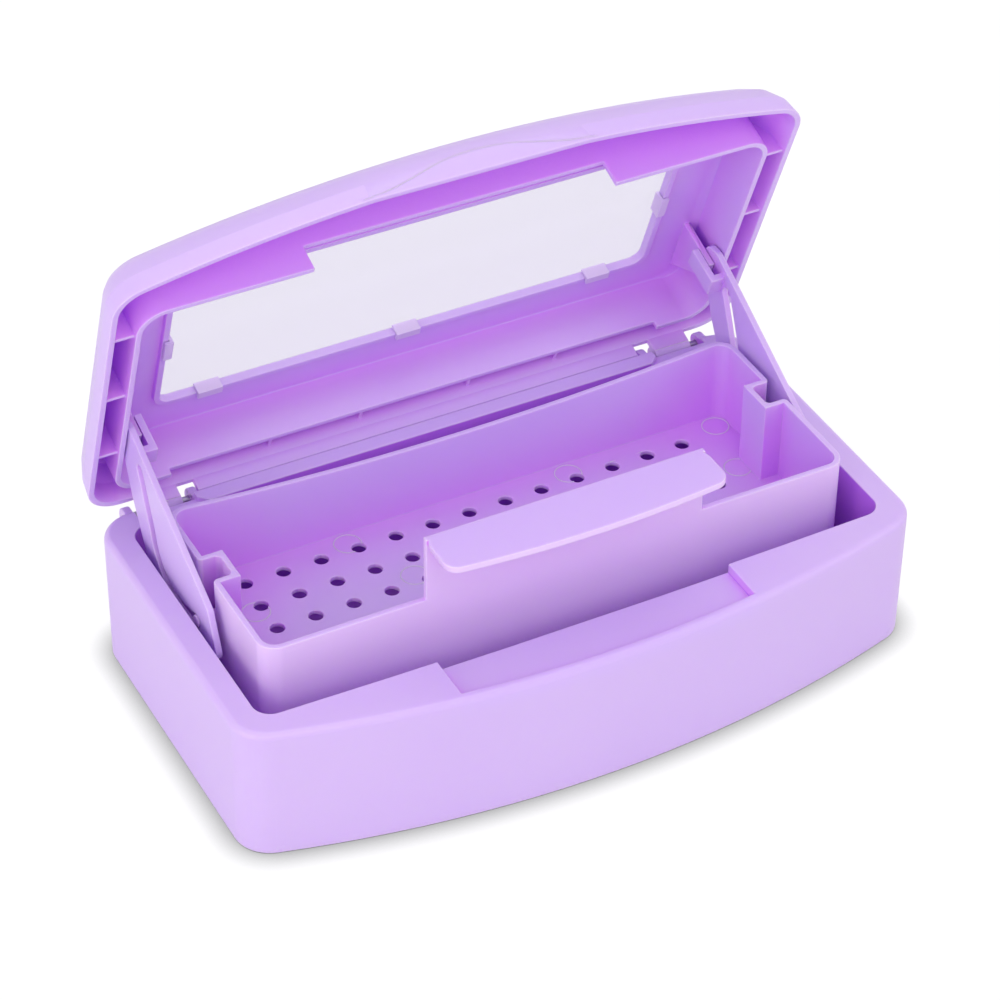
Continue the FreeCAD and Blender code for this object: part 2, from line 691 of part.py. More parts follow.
def make_tray():
    body = new_body("instrument_tray")
    wall = size("tray_wall")
    half = tray_half.value
    back = tray_back.value

    outline = body_sketch(body, "tray_outline", "XY_Plane", tray_bottom)
    tray_outline(outline, measure(0.0))
    solid = pad(body, "tray_block", outline, size("tray_height"))
    solid = fillet(body, "tray_corners", solid, lambda edge: is_upright(edge) and
                   is_tray_corner(edge, half, back), size("tray_corner"))
    solid = fillet(body, "channel_corners", solid, lambda edge: is_upright(edge) and
                   is_channel_corner(edge), size("channel_round"))
    inside = body_sketch(body, "tray_inside", "XY_Plane", tray_rim)
    tray_outline(inside, wall)
    solid = pocket(body, "tray_hollow", inside, size("tray_height") - size("tray_floor"))
    fillet(body, "tray_inner_corners", solid, lambda edge: is_upright(edge) and
           is_tray_corner(edge, half - wall.value, back - wall.value),
           size("tray_corner") - wall)

    dip = body.newObject("PartDesign::SubtractiveCylinder", "rear_wall_dip")
    dip.Placement = Placement(Vector(), Rotation(Vector(1, 0, 0), -90))
    reach = tray_half - size("tray_corner")
    radius = (reach * reach + size("tray_dip") * size("tray_dip")) / (size("tray_dip") * 2.0)
    bind(dip, "Radius", radius)
    bind(dip, "Height", wall * 3.0)
    bind(dip, "Placement.Base.y", tray_back - wall * 2.0)
    bind(dip, "Placement.Base.z", tray_rim + radius - size("tray_dip"))
    drain_holes(body, outline)

    tab = size("tab_half_width")
    front = -tray_front
    block(body, "Additive", "handle_tab", (-tab, front, tray_rim - wall),
          (tab, front + wall, lip_top))
    lip = body_sketch(body, "lip_outline", "XY_Plane", lip_top - size("lip_thickness"))
    bowed_outline(lip, tab, front + wall, tray_front + size("lip_reach"), size("lip_bow"),
                  size("lip_corner"))
    pad(body, "handle_lip", lip, size("lip_thickness"))

    for side in (-1, 1):
        low, high = span(side, tray_half - size("channel_depth") - wall / 2.0,
                         arm_outer + size("slot_clearance"))
        rod(body, "Additive", f"lifting_peg_{side_name(side)}", low, high, size("peg_y"),
            tray_bottom + size("peg_height"), size("peg_radius"))
    bind(body, "Placement.Base.z", size("tray_lift"))
    return body


def drain_holes(body, outline):
    """Rows of drain holes, drawn with a few flat sides each, which keeps so many light."""
    pitch = size("hole_pitch_across")
    room = tray_half - size("channel_depth") - size("tray_wall") - size("hole_margin")
    beside = int(room.value / pitch.value)
    row = tray_back - size("hole_row_back")
    depth = row + tray_front - size("tray_wall") - size("hole_margin_front")
    rows = int(depth.value / size("hole_pitch_deep").value) + 1
    hole = body.newObject("PartDesign::SubtractivePrism", "first_drain_hole")
    hole.Polygon = DRAIN_HOLE_SIDES
    bind(hole, "Circumradius", size("hole_radius"))
    bind(hole, "Height", size("tray_floor") * 3.0)
    bind(hole, "Placement.Base.x", -pitch * float(beside))
    bind(hole, "Placement.Base.y", row)
    bind(hole, "Placement.Base.z", tray_bottom - size("tray_floor"))
    pattern = body.newObject("PartDesign::MultiTransform", "drain_holes")
    pattern.Originals = [hole]
    pattern.Transformations = [
        pattern_run(body, "holes_across", outline, "H_Axis", 2 * beside + 1, pitch, False),
        pattern_run(body, "holes_deep", outline, "V_Axis", rows, size("hole_pitch_deep"), True)]
    body.Tip = pattern


def is_tray_corner(edge, half, back):
    point = edge.Vertexes[0].Point
    front = tray_front.value - (tray_half.value - half)
    at_end = abs(point.y - back) < ALIGNED or abs(point.y + front) < ALIGNED
    return abs(abs(point.x) - half) < ALIGNED and at_end


def is_channel_corner(edge):
    point = edge.Vertexes[0].Point
    half_width = size("channel_width").value / 2
    return abs(abs(point.y - size("channel_middle").value) - half_width) < ALIGNED


def pattern_run(body, name, sketch, axis, copies, pitch, backwards):
    run = body.newObject("PartDesign::LinearPattern", name)
    run.Direction = (sketch, [axis])
    run.Reversed = backwards
    run.Occurrences = copies
    bind(run, "Length", pitch * float(copies - 1))
    return run


# Lid: domed shell, inner wall, ribs, window with a raised frame, fins and hinge lugs

def lid_dome(name, base, wall, height, steps):
    """A dome whose walls rise in quarter ellipses, from the mouth up by the height."""
    sections = []
    for step in range(steps + 1):
        angle = math.pi / 2 * step / steps
        level = base + height * math.sin(angle)
        inward = 1.0 - math.cos(angle)
        sketch = free_sketch(f"{name}_section_{step}", level)
        side = wall + (size("lid_side_curve") - wall) * inward
        back = wall + (size("lid_back_curve") - wall) * inward
        front = wall + (size("lid_front_curve") - wall) * inward
        bowed_outline(sketch, base_half - side, size("base_back") - back,
                      size("base_front") - front, size("base_bow"),
                      size("base_corner") - wall, base_half)
        sections.append(sketch)
    return loft(name, sections)


def make_lid_shell():
    wall = size("lid_wall")
    none = measure(0.0)
    outer = lid_dome("lid_outside", mouth, none, size("lid_height"), DOME_STEPS_OUTSIDE)
    inner = lid_dome("lid_inside", mouth, wall, size("lid_height") - size("lid_plate"),
                     DOME_STEPS_INSIDE)
    shell = cut("lid_bowl", outer, inner)

    ring = free_sketch("ring_outline", mouth)
    ring_wall = size("ring_wall")
    for extra in (none, ring_wall):
        plain_outline(ring, ring_half + extra, ring_back + extra, ring_front + extra,
                      size("ring_corner") + extra)
    root = size("lid_plate") / 2.0
    stiff = [extrude("lid_inner_wall", ring, lid_ceiling - mouth + root)]
    stiff += make_lid_ribs()
    stiff += [make_window_frame(root), make_brow_wall()]
    stiff += [make_fin(side, root) for side in (-1, 1)]
    inside = common("lid_stiffening", fuse("lid_walls", stiff), outer)
    hinge_side = [piece for side in (-1, 1) for piece in make_lug(side)] + [make_flap()]
    solid = fuse("lid_body", [shell, inside] + hinge_side)

    opening = free_sketch("window_outline", lid_ceiling - size("frame_height") - root)
    plain_outline(opening, window_half, window_back, window_front, size("window_corner"))
    window = extrude("window_opening", opening, size("lid_plate") * 2.0 + size("frame_height"))
    seat = free_sketch("pane_seat_outline", lid_top - size("pane_thickness"))
    margin = size("pane_margin")
    plain_outline(seat, window_half + margin, window_back + margin, window_front + margin,
                  size("window_corner"))
    pane_seat = extrude("pane_seat", seat, size("pane_thickness") * 2.0)
    notch_half = size("tab_half_width") + size("notch_gap")
    notch = loose_box("lip_notch",
                      (-notch_half, -ring_front - ring_wall - root, mouth - root),
                      (notch_half, -ring_front + root, lip_top + size("lip_clearance")))
    relief_half = bar_half + size("relief_margin")
    relief = loose_box("hinge_bar_relief",
                       (-relief_half, ring_back - root, mouth - root),
                       (relief_half, ring_back + ring_wall + wall / 4.0,
                        mouth + size("relief_depth")))
    cutters = [window, pane_seat, notch, relief, make_thumb_flat()]
    cutters += [make_lid_bore(side) for side in (-1, 1)]
    lid = cut("lid_shell", solid, fuse("lid_cutters", cutters))
    lid.Label = "lid_shell"
    open_with_lid(lid)
    return lid


def side_profile(name, corners, x):
    """A sketch in the YZ plane at a place across the box."""
    profile = doc.addObject("Sketcher::SketchObject", name)
    profile.Placement = Placement(Vector(), Rotation(Vector(1, 1, 1), 120))
    bind(profile, "Placement.Base.x", x)
    polygon(profile, corners)
    return profile


def brow_flat():
    """The thumb flat's places at the mouth and at its top, in the middle of the front."""
    half = size("brow_half_width")
    bow = size("base_bow")
    radius = (base_half * base_half + bow * bow) / (bow * 2.0)
    low = size("base_front") + bow - half * half / (radius * 2.0)
    rise = size("brow_height") / size("lid_height")
    high = size("base_front") + bow - size("lid_front_curve") * rise * rise / 2.0
    return low, high


def make_brow_wall():
    """Extra wall inside the front, where the thumb flat cuts into it."""
    low, _ = brow_flat()
    half = size("brow_half_width") + size("brow_wall")
    return loose_box("brow_wall", (-half, -low, mouth),
                     (half, -low + size("brow_wall"), mouth + size("brow_height")))


def make_thumb_flat():
    """A flat cut into the bowed front, where a thumb lifts the lid."""
    low, high = brow_flat()
    top = mouth + size("brow_height")
    below = size("lid_gap")
    past = size("lid_wall")
    half = base_half / 2.0
    lean = (high - low) * below / size("brow_height")
    profile = side_profile("thumb_flat_profile",
                           [(-low + lean, mouth - below), (-high, top), (-high - past, top),
                            (-high - past, mouth - below)], -half)
    return extrude("thumb_flat", profile, half * 2.0, Vector(1, 0, 0))


def make_flap():
    """The rear skirt reaches down behind the hinge bar, on to the tub's ledge."""
    half = ledge_half - size("flap_play")
    return loose_box("hinge_flap",
                     (-half, size("base_back") - size("lid_wall"),
                      ledge_top + size("flap_play")),
                     (half, size("base_back"), mouth + size("lid_wall")))


def plain_outline(sketch, half, back, front, corner):
    """Draw a rectangle with rounded corners from side to side and front to back."""
    half = measure(half)
    back = measure(back)
    front = measure(front)
    corner = measure(corner)
    w = half.value
    b = back.value
    f = -front.value
    r = corner.value
    start = sketch.GeometryCount
    axis = Vector(0, 0, 1)

    def arc(x, y, first, last):
        return Part.ArcOfCircle(Part.Circle(Vector(x, y, 0), axis, r), first, last)

    sketch.addGeometry([
        Part.LineSegment(Vector(-w, f + r, 0), Vector(-w, b - r, 0)),
        arc(-(w - r), b - r, math.pi / 2, math.pi),
        Part.LineSegment(Vector(-(w - r), b, 0), Vector(w - r, b, 0)),
        arc(w - r, b - r, 0, math.pi / 2),
        Part.LineSegment(Vector(w, b - r, 0), Vector(w, f + r, 0)),
        arc(w - r, f + r, -math.pi / 2, 0),
        Part.LineSegment(Vector(w - r, f, 0), Vector(-(w - r), f, 0)),
        arc(-(w - r), f + r, math.pi, 3 * math.pi / 2),
    ], False)
    joints = [(0, 2, 1, 2), (1, 1, 2, 1), (2, 2, 3, 2), (3, 1, 4, 1),
              (4, 2, 5, 2), (5, 1, 6, 1), (6, 2, 7, 2), (7, 1, 0, 1)]
    for first, first_end, second, second_end in joints:
        sketch.addConstraint(Sketcher.Constraint(
            "Tangent", start + first, first_end, start + second, second_end))
    sketch.addConstraint(Sketcher.Constraint("Vertical", start))
    sketch.addConstraint(Sketcher.Constraint("Vertical", start + 4))
    sketch.addConstraint(Sketcher.Constraint("Horizontal", start + 2))
    sketch.addConstraint(Sketcher.Constraint("Horizontal", start + 6))
    for other in (3, 5):
        sketch.addConstraint(Sketcher.Constraint("Equal", start + 1, start + other))
    dimension(sketch, "Radius", (start + 1,), corner)
    dimension(sketch, "DistanceX", (start, 1, -1, 1), half)
    dimension(sketch, "DistanceX", (-1, 1, start + 4, 1), half)
    dimension(sketch, "DistanceY", (-1, 1, start + 2, 1), back)
    dimension(sketch, "DistanceY", (start + 6, 1, -1, 1), front)


def make_lid_ribs():
    """Ribs between the skirt and the inner wall, at the sides and at the back."""
    ribs = []
    thick = size("rib_thickness")
    low_z = mouth + size("rib_inset")
    within = size("ring_wall") / 2.0
    for side in (-1, 1):
        low, high = span(side, ring_half + within, base_half)
        for step in (-1, 0, 1):
            middle = size("rib_middle") + size("rib_spacing") * float(step)
            ribs.append(loose_box(f"side_rib_{len(ribs)}", (low, middle - thick / 2.0, low_z),
                                  (high, middle + thick / 2.0, lid_top)))
        for gusset in ("gusset_near", "gusset_far"):
            low_x, high_x = span(side, size(gusset) - thick / 2.0, size(gusset) + thick / 2.0)
            ribs.append(loose_box(f"rear_rib_{len(ribs)}",
                                  (low_x, ring_back + within,
                                   low_z + size("hinge_bar_height") + size("lid_gap")),
                                  (high_x, size("base_back"), lid_top)))
    return ribs


def make_window_frame(root):
    frame = free_sketch("frame_outline", lid_ceiling - size("frame_height"))
    none = measure(0.0)
    for extra in (none, size("frame_width")):
        plain_outline(frame, window_half + extra, window_back + extra, window_front + extra,
                      size("window_corner") + extra)
    return extrude("window_frame", frame, size("frame_height") + root)


def make_fin(side, root):
    """The fin that hangs from the lid's ceiling and holds the arm's pivot."""
    margin = size("fin_margin")
    low, high = span(side, fin_inner, fin_outer)
    near = pivot_y - margin
    top = lid_ceiling + root
    profile = side_profile(f"fin_profile_{side_name(side)}", [
        (near, top), (near, pivot_z - margin), (pivot_y + margin, pivot_z - margin),
        (near + size("fin_root"), top)], low)
    return extrude(f"pivot_fin_{side_name(side)}", profile, high - low, Vector(1, 0, 0))


def make_lug(side):
    """The hinge lug: a barrel round the pin and a web up to the skirt."""
    low, high = span(side, lug_inner, lug_outer)
    barrel = loose_rod(f"lug_barrel_{side_name(side)}", low, high, hinge_y, hinge_z,
                       size("knuckle_radius") - size("pin_clearance"))
    web = loose_box(f"lug_web_{side_name(side)}",
                    (low, size("base_back") - size("lid_wall"), hinge_z),
                    (high, size("base_back"), mouth + size("lid_wall")))
    return [barrel, web]


def make_lid_bore(side):
    past = size("fin_play")
    low, high = span(side, lug_inner - past, lug_outer + past)
    pin = loose_rod(f"lug_bore_{side_name(side)}", low, high, hinge_y, hinge_z,
                    size("pin_radius") + size("pin_clearance"))
    low, high = span(side, fin_inner - past, fin_outer + past)
    pivot = loose_rod(f"fin_bore_{side_name(side)}", low, high, pivot_y, pivot_z,
                      size("pivot_pin_radius") + size("pin_clearance"))
    return fuse(f"lid_bores_{side_name(side)}", [pin, pivot])


# Window pane: a clear plate in the lid's seat, held by hooks under the frame

def make_window_pane():
    body = new_body("window_pane")
    play = size("pane_play")
    margin = size("pane_margin") - play
    plate = body_sketch(body, "pane_outline", "XY_Plane", lid_top - size("pane_thickness"))
    plain_outline(plate, window_half + margin, window_back + margin, window_front + margin,
                  size("window_corner") - play)
    pad(body, "pane_plate", plate, size("pane_thickness"))
    pitch = window_half - size("hook_set")
    for step in (-1, 0, 1):
        middle = pitch * float(step)
        add_hook(body, f"rear_{step + 1}", "y", 1, middle, window_back)
        add_hook(body, f"front_{step + 1}", "y", -1, middle, window_front)
    for side in (-1, 1):
        middle = (window_back - window_front) / 2.0
        add_hook(body, f"side_{side + 1}", "x", side, middle, window_half)
    open_with_lid(body)
    return body


def add_hook(body, tag, axis, side, middle, edge):
    """A leg through the window and a foot that reaches out under the frame."""
    play = size("pane_play")
    half = size("hook_length") / 2.0
    under = lid_ceiling - size("frame_height") - play
    leg_out = edge - play
    leg_in = leg_out - size("hook_thickness")
    foot_out = edge + size("hook_reach")
    foot_low = under - size("hook_thickness")
    for part, inner, outer, low, high in (
            ("leg", leg_in, leg_out, foot_low, lid_top - size("pane_thickness") / 2.0),
            ("foot", leg_in, foot_out, foot_low, under)):
        first, last = span(side, inner, outer)
        if axis == "y":
            block(body, "Additive", f"hook_{part}_{tag}",
                  (middle - half, first, low), (middle + half, last, high))
        else:
            block(body, "Additive", f"hook_{part}_{tag}",
                  (first, middle - half, low), (last, middle + half, high))


# Arms: slotted plates that hang from the lid's fins and lift the tray by its pegs

def peg_path(steps):
    """Places of the tray's peg on the arm, as the open arm lies, from open to closed.

    While the lid turns by an angle, the tray and the arm move in proportion to it. The
    path of the peg, seen from the arm, is the middle line of the arm's slot.
    """
    swing = size("lid_open_angle").value
    peg_open_z = (tray_bottom + size("peg_height") + size("tray_lift")).value
    away = (pivot_open_y - hinge_y).value
    up = (pivot_open_z - hinge_z).value
    places = []
    for step in range(steps + 1):
        share = step / steps
        turned = math.radians(swing * share)
        y = size("peg_y").value - (hinge_y.value + away * math.cos(turned) - up * math.sin(turned))
        z = (peg_open_z - size("tray_lift").value * share
             - (hinge_z.value + away * math.sin(turned) + up * math.cos(turned)))
        back = -math.radians(size("arm_turn_angle").value * share)
        places.append(Vector(0, y * math.cos(back) - z * math.sin(back),
                             y * math.sin(back) + z * math.cos(back)))
    return places


def make_slot_cutter(side):
    """The slot: a round-ended band along the peg's path and on towards the pivot."""
    line = peg_path(PEG_STEPS)
    line.append(Vector(0, -size("slot_mid_ahead").value, -size("slot_mid_drop").value))
    line.append(Vector(0, -size("slot_head_ahead").value, -size("slot_head_drop").value))
    path = Part.BSplineCurve()
    path.interpolate(line)
    reach = slot_half.value
    sides = {1: [], -1: []}
    length = path.LastParameter - path.FirstParameter
    for station in range(2 * SLOT_ARCS + 1):
        place = path.FirstParameter + length * station / (2 * SLOT_ARCS)
        along = Vector(*path.tangent(place)[0])
        across = Vector(0, -along.z, along.y)
        for turn, points in sides.items():
            points.append(path.value(place) + across * (reach * turn))
    edges = []
    for points in sides.values():
        for start in range(0, 2 * SLOT_ARCS, 2):
            edges.append(Part.Arc(*points[start:start + 3]).toShape())
    for end, place, outward in ((0, path.FirstParameter, -1.0), (-1, path.LastParameter, 1.0)):
        along = Vector(*path.tangent(place)[0])
        tip = path.value(place) + along * (reach * outward)
        edges.append(Part.Arc(sides[1][end], tip, sides[-1][end]).toShape())
    past = size("arm_thickness").value / 2
    low, high = span(side, arm_inner, arm_outer)
    face = Part.Face(Part.Wire(Part.__sortEdges__(edges)))
    face.translate(Vector(low.value - past, 0, 0))
    cutter = doc.addObject("Part::Feature", f"slot_{side_name(side)}")
    cutter.Shape = face.extrude(Vector(high.value - low.value + 2 * past, 0, 0))
    return cutter


def make_lift_arm(side):
    """One arm, drawn round its pivot as it lies when the box is open."""
    tag = side_name(side)
    low, high = span(side, arm_inner, arm_outer)
    peg_z = tray_bottom + size("peg_height") + size("tray_lift") - pivot_open_z
    peg_y = size("peg_y") - pivot_open_y
    profile = side_profile(f"arm_profile_{tag}", [
        (-size("arm_crown_ahead"), size("arm_crown")),
        (peg_y - size("arm_brow_ahead"), peg_z + size("arm_brow_rise")),
        (peg_y - size("arm_nose_ahead"), peg_z - size("arm_nose_drop")),
        (peg_y - size("arm_toe_ahead"), peg_z - size("arm_toe_drop")),
        (peg_y + size("arm_sole_behind"), peg_z - size("arm_sole_drop")),
        (peg_y + size("arm_heel_behind"), peg_z - size("arm_heel_drop")),
        (-size("arm_knee_ahead"), -size("arm_knee_drop")),
        (size("arm_shoulder_behind"), -size("arm_shoulder_drop")),
        (size("arm_crown_behind"), size("arm_crown"))], low)
    plate = extrude(f"arm_block_{tag}", profile, high - low, Vector(1, 0, 0))
    plate = round_edges(f"arm_plate_{tag}", plate, is_across, size("arm_round"))
    slotted = cut(f"arm_slotted_{tag}", plate, make_slot_cutter(side))

    low, high = span(side, tongue_inner, tongue_outer)
    half = size("fork_half_width")
    tongue = lean_box(f"fork_tongue_{tag}", (low, -half, -size("fork_below")),
                      (high, half, size("fork_above")))
    low, high = span(side, tongue_inner, arm_outer)
    web = lean_box(f"fork_web_{tag}", (low, -half, -size("fork_below")),
                   (high, half, -size("fork_below") + size("fork_web")))
    pin = loose_rod(f"fork_pin_{tag}", low, high, 0.0, 0.0, size("pivot_pin_radius"))
    arm = fuse(f"lift_arm_{tag}", [slotted, tongue, web, pin])
    arm.Label = f"lift_arm_{tag}"
    bind(arm, "Placement.Base.y", pivot_open_y)
    bind(arm, "Placement.Base.z", pivot_open_z)
    return arm


def is_across(edge):
    first, last = edge.Vertexes[0].Point, edge.Vertexes[-1].Point
    return math.hypot(first.y - last.y, first.z - last.z) < SAME and abs(first.x - last.x) > SAME


def lean_box(name, low, high):
    """A box that lies along the open lid: its corners are given as on the closed lid."""
    solid = doc.addObject("Part::Box", name)
    low = [measure(amount) for amount in low]
    high = [measure(amount) for amount in high]
    for side, start, end in zip(("Length", "Width", "Height"), low, high):
        bind(solid, side, end - start)
    solid.Placement = Placement(Vector(), Rotation(Vector(1, 0, 0), -size("lid_open_angle").value))
    bind(solid, "Placement.Rotation.Angle", -size("lid_open_angle") * measure(1.0))
    bind(solid, "Placement.Base.x", low[0])
    bind(solid, "Placement.Base.y", low[1] * open_cos + low[2] * open_sin)
    bind(solid, "Placement.Base.z", low[2] * open_cos - low[1] * open_sin)
    return solid


# Build, check and export

pieces = [make_base_tub(), make_tray(), make_lid_shell(), make_window_pane()]
pieces += [make_lift_arm(side) for side in (-1, 1)]
pieces += [make_hinge_pin(side) for side in (-1, 1)]
doc.recompute()

faults = [thing.Label for thing in doc.Objects
          if "Invalid" in thing.State or "Error" in thing.State]
if faults:
    raise RuntimeError(f"features that failed: {faults}")
for piece in pieces:
    if piece.Shape.isNull() or not piece.Shape.isValid():
        raise RuntimeError(f"{piece.Label} has no valid shape")

os.makedirs("parts", exist_ok=True)
for piece in pieces:
    piece.Shape.exportStep(f"parts/{piece.Label}.step")
    solids = len(piece.Shape.Solids)
    print(f"{piece.Label}: {solids} solid, {piece.Shape.Volume / 1000:.2f} cm3")
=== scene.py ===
import math

import bpy
from mathutils import Matrix, Vector


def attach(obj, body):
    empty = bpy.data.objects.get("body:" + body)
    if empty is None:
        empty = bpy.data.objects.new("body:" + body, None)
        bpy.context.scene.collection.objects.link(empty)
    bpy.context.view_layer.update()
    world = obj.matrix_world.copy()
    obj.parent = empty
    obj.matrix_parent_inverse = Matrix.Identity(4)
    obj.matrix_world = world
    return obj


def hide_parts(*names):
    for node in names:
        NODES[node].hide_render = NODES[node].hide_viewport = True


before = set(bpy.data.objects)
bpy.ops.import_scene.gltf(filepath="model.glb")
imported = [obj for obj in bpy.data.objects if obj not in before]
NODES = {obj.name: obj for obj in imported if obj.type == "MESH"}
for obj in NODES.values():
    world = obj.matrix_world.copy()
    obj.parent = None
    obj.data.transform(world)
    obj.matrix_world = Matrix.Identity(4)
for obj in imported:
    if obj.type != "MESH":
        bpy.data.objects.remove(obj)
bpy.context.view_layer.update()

# Colours

PALE_LILAC = "#D9BDF8"
LILAC_SHADE = "#D4B5F6"
# Painted shade: a deeper, more saturated lilac for hollows
PAINTED_HOLLOW_SHADE = "#E49EFF"
# Painted shade: the most saturated lilac, for narrow gaps and for the basin's hollows
PAINTED_GAP_SHADE = "#CC76F8"
# Painted highlight: a paler lilac along thin edges
PAINTED_EDGE_HIGHLIGHT = "#EEE1FE"
# Painted light: a paler lilac and its tone for the tray's outward walls
PAINTED_LIGHT_LILAC = "#EACEFF"
PAINTED_LIGHT_TONE = "#E5C8FD"
# Painted shade: a deeper lilac and its tone for the basin, in the tray's shade
PAINTED_SHADE_LILAC = "#D080FC"
PAINTED_SHADE_TONE = "#CB78F8"
FROSTED_LILAC = "#EBD6FE"
CLEAR_TINT = "#DAD2F0"
STEEL_GREY = "#BDBDC4"
WHITE = "#FFFFFF"
PAPER_WHITE = "#F4F4F5"

# Sizes of the surfaces' patterns, in millimetres

MELT_FLOW = 71.4
ORANGE_PEEL = 1.43
MOULD_WAVE = 16.7
GROUND_GRAIN = 1.11
WIRE_MARK_ALONG = 0.4
WIRE_MARK_ROUND = 16.7

# Painted shade in hollows and gaps, painted highlight on thin edges, and light through the
# walls: depths in metres, and shares of open space round a point

HOLLOW_REACH = 0.035
HOLLOW_CLOSED = 0.35
HOLLOW_OPEN = 0.92
GAP_CLOSED = 0.08
GAP_OPEN = 0.24
EDGE_DEPTH = 0.0006
EDGE_THIN = 0.3
EDGE_THICK = 0.85
LIGHT_DEPTH = 0.0025
LIGHT_SPREAD = (1.0, 0.7, 1.3)
PEEL_HEIGHT = 0.0004
PEEL_SHARE = 0.25

# Gloss and clearness

PLASTIC_IOR = 1.49
PLASTIC_SHEEN = 0.9
SATIN_ROUGHNESS = (0.33, 0.4)
GROUND_ROUGHNESS = (0.3, 0.45)
WIRE_ROUGHNESS = (0.25, 0.42)
POLISHED_ROUGHNESS = 0.03
PANE_OPACITY = 0.2


def colour(hex_code):
    """Turn an sRGB hex value into the linear colour that a socket takes."""
    channels = [int(hex_code[start:start + 2], 16) / 255 for start in (1, 3, 5)]
    linear = [value / 12.92 if value <= 0.04045 else ((value + 0.055) / 1.055) ** 2.4
              for value in channels]
    return (*linear, 1.0)


def per_metre(millimetres):
    """Turn a pattern's size into how often it repeats in a metre, as a noise scale is given."""
    return 1000.0 / millimetres


# Materials

def add_node(material, kind, settings=None, links=None):
    """Add a node, set its sockets or properties, and link its inputs from other sockets."""
    node = material.node_tree.nodes.new(kind)
    for name, value in (settings or {}).items():
        if name in node.inputs:
            node.inputs[name].default_value = value
        else:
            setattr(node, name, value)
    for name, source in (links or {}).items():
        material.node_tree.links.new(source, node.inputs[name])
    return node


def new_material(name):
    material = bpy.data.materials.new(name)
    material.use_nodes = True
    material.node_tree.nodes.clear()
    return material


def close_material(material, shader):
    output = add_node(material, "ShaderNodeOutputMaterial")
    material.node_tree.links.new(shader, output.inputs["Surface"])
    return material


def moulded_polypropylene(name, pale, shade, hollow_shade_colour):
    """Injection-moulded polypropylene, lilac, from a polished steel mould.

    The colour is nearly even, with a faint drift where the melt flowed. It is deeper in
    narrow hollows and deeper still in narrow gaps, which is painted shade, and paler along
    thin edges, which is a painted highlight. The face is a soft satin with a very shallow
    orange peel, and thin walls let a little light through.
    """
    material = new_material(name)
    place = add_node(material, "ShaderNodeTexCoord")
    flow = add_node(material, "ShaderNodeTexNoise",
                    {"Scale": per_metre(MELT_FLOW), "Detail": 2.0, "Roughness": 0.5},
                    {"Vector": place.outputs["Object"]})
    tone = add_node(material, "ShaderNodeMix",
                    {"data_type": "RGBA"}, {"Factor": flow.outputs["Fac"]})
    tone.inputs[6].default_value = colour(pale)
    tone.inputs[7].default_value = colour(shade)
    # Painted shade: the colour turns deeper where the piece's own hollows close in round a
    # point
    hollow = add_node(material, "ShaderNodeAmbientOcclusion",
                      {"Distance": HOLLOW_REACH, "samples": 8, "only_local": True})
    depth = add_node(material, "ShaderNodeMapRange",
                     {"From Min": HOLLOW_CLOSED, "From Max": HOLLOW_OPEN},
                     {"Value": hollow.outputs["AO"]})
    shaded_in_hollows = add_node(material, "ShaderNodeMix", {"data_type": "RGBA"},
                    {"Factor": depth.outputs["Result"]})
    # Painted shade: in narrow gaps the colour turns deeper still
    gap = add_node(material, "ShaderNodeMapRange",
                   {"From Min": GAP_CLOSED, "From Max": GAP_OPEN},
                   {"Value": hollow.outputs["AO"]})
    shaded_in_gaps = add_node(material, "ShaderNodeMix", {"data_type": "RGBA"},
                       {"Factor": gap.outputs["Result"]})
    shaded_in_gaps.inputs[6].default_value = colour(PAINTED_GAP_SHADE)
    shaded_in_gaps.inputs[7].default_value = colour(hollow_shade_colour)
    material.node_tree.links.new(shaded_in_gaps.outputs[2], shaded_in_hollows.inputs[6])
    material.node_tree.links.new(tone.outputs[2], shaded_in_hollows.inputs[7])
    # Painted highlight: thin edges turn paler
    thin = add_node(material, "ShaderNodeAmbientOcclusion",
                    {"Distance": EDGE_DEPTH, "samples": 6, "only_local": True, "inside": True})
    body = add_node(material, "ShaderNodeMapRange",
                    {"From Min": EDGE_THIN, "From Max": EDGE_THICK},
                    {"Value": thin.outputs["AO"]})
    highlighted_edges = add_node(material, "ShaderNodeMix", {"data_type": "RGBA"},
                     {"Factor": body.outputs["Result"]})
    highlighted_edges.inputs[6].default_value = colour(PAINTED_EDGE_HIGHLIGHT)
    material.node_tree.links.new(shaded_in_hollows.outputs[2], highlighted_edges.inputs[7])
    peel = add_node(material, "ShaderNodeTexNoise",
                    {"Scale": per_metre(ORANGE_PEEL), "Detail": 2.0, "Roughness": 0.45},
                    {"Vector": place.outputs["Object"]})
    wave = add_node(material, "ShaderNodeTexNoise",
                    {"Scale": per_metre(MOULD_WAVE), "Detail": 1.0, "Roughness": 0.4},
                    {"Vector": place.outputs["Object"]})
    height = add_node(material, "ShaderNodeMath",
                      {"operation": "MULTIPLY_ADD"},
                      {0: peel.outputs["Fac"], 2: wave.outputs["Fac"]})
    height.inputs[1].default_value = PEEL_SHARE
    bump = add_node(material, "ShaderNodeBump", {"Strength": 0.06, "Distance": PEEL_HEIGHT},
                    {"Height": height.outputs["Value"]})
    gloss = add_node(material, "ShaderNodeMapRange",
                     {"To Min": SATIN_ROUGHNESS[0], "To Max": SATIN_ROUGHNESS[1]},
                     {"Value": wave.outputs["Fac"]})
    shader = add_node(material, "ShaderNodeBsdfPrincipled",
                      {"IOR": PLASTIC_IOR, "Specular IOR Level": PLASTIC_SHEEN,
                       "Subsurface Weight": 0.4, "Subsurface Radius": LIGHT_SPREAD,
                       "Subsurface Scale": LIGHT_DEPTH},
                      {"Base Color": highlighted_edges.outputs[2], "Roughness": gloss.outputs["Result"],
                       "Normal": bump.outputs["Normal"]})
    return close_material(material, shader.outputs["BSDF"])


